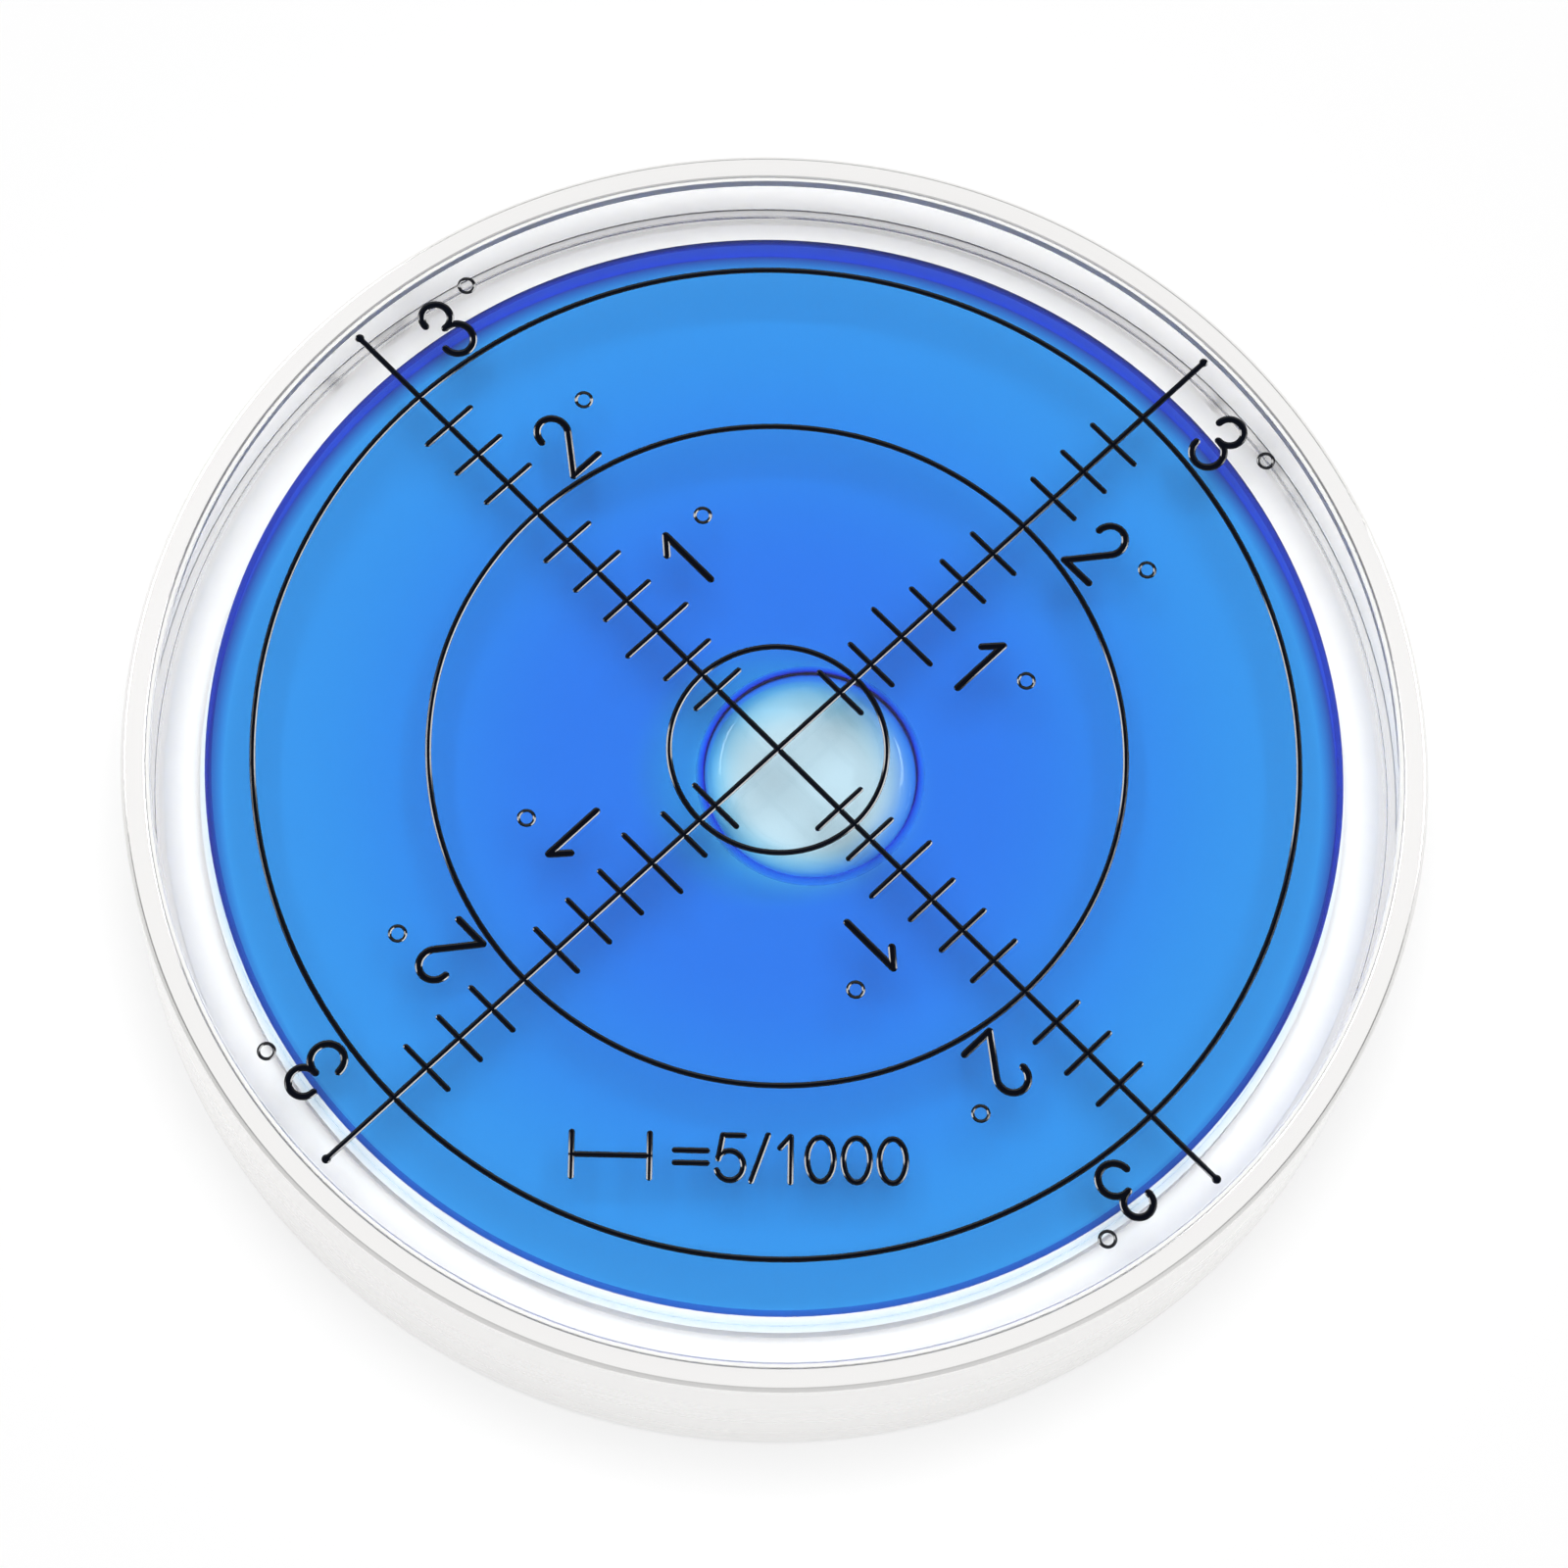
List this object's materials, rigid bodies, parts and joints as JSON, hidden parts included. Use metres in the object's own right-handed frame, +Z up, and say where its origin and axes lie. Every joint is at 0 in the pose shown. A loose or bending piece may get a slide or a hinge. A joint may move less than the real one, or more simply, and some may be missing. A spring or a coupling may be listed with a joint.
{
  "type": "circular bubble level",
  "caption": "Low round aluminium case with a magnet in its base, holding a sealed clear vial of blue liquid whose bubble shows tilt in any direction against rings and a ticked cross.",
  "frame": {"origin": "centre of the base, on the surface that the level stands on", "axes": "+Z up along the axis of the case, +Y towards the vent in its side wall; the cross lines lie at 45 degrees to X and Y"},
  "size_m": [0.06, 0.06, 0.011],
  "materials": {
    "turned_aluminium": "lathe turned, satin",
    "nickel_plate": "nickel plated magnet, satin",
    "epoxy": "cured film",
    "white_adhesive": "matt",
    "clear_acrylic": "polished, clear",
    "white_acrylic": "opal, satin",
    "blue_spirit": "clear dyed liquid",
    "air": "clear",
    "line_paint": "wiped-in paint"
  },
  "bodies": {
    "level_case": {"case": "turned_aluminium", "magnet": "nickel_plate", "magnet_adhesive": "epoxy", "vial_adhesive": "white_adhesive", "vial_lens": "clear_acrylic", "vial_plate": "white_acrylic", "fill_plug": "white_acrylic", "cross_lines": "line_paint", "division_ticks": "line_paint", "bubble_ring": "line_paint", "two_degree_ring": "line_paint", "three_degree_ring": "line_paint"},
    "vial_liquid": {"liquid": "blue_spirit"},
    "vial_bubble": {"bubble": "air"}
  },
  "joints": [
    {"name": "liquid_swirl", "type": "hinge", "parent": "level_case", "child": "vial_liquid", "pos_m": [0, 0, 0.0075], "axis": [0, 0, 1], "continuous": true},
    {"name": "bubble_travel", "type": "hinge", "parent": "vial_liquid", "child": "vial_bubble", "pos_m": [0, 0, -0.44894], "axis": [0.2924, 0.9563, 0], "range_deg": [-2.8, 2.38], "stiffness_Nm_per_rad": 0.02, "deforming": ["liquid"]}
  ]
}
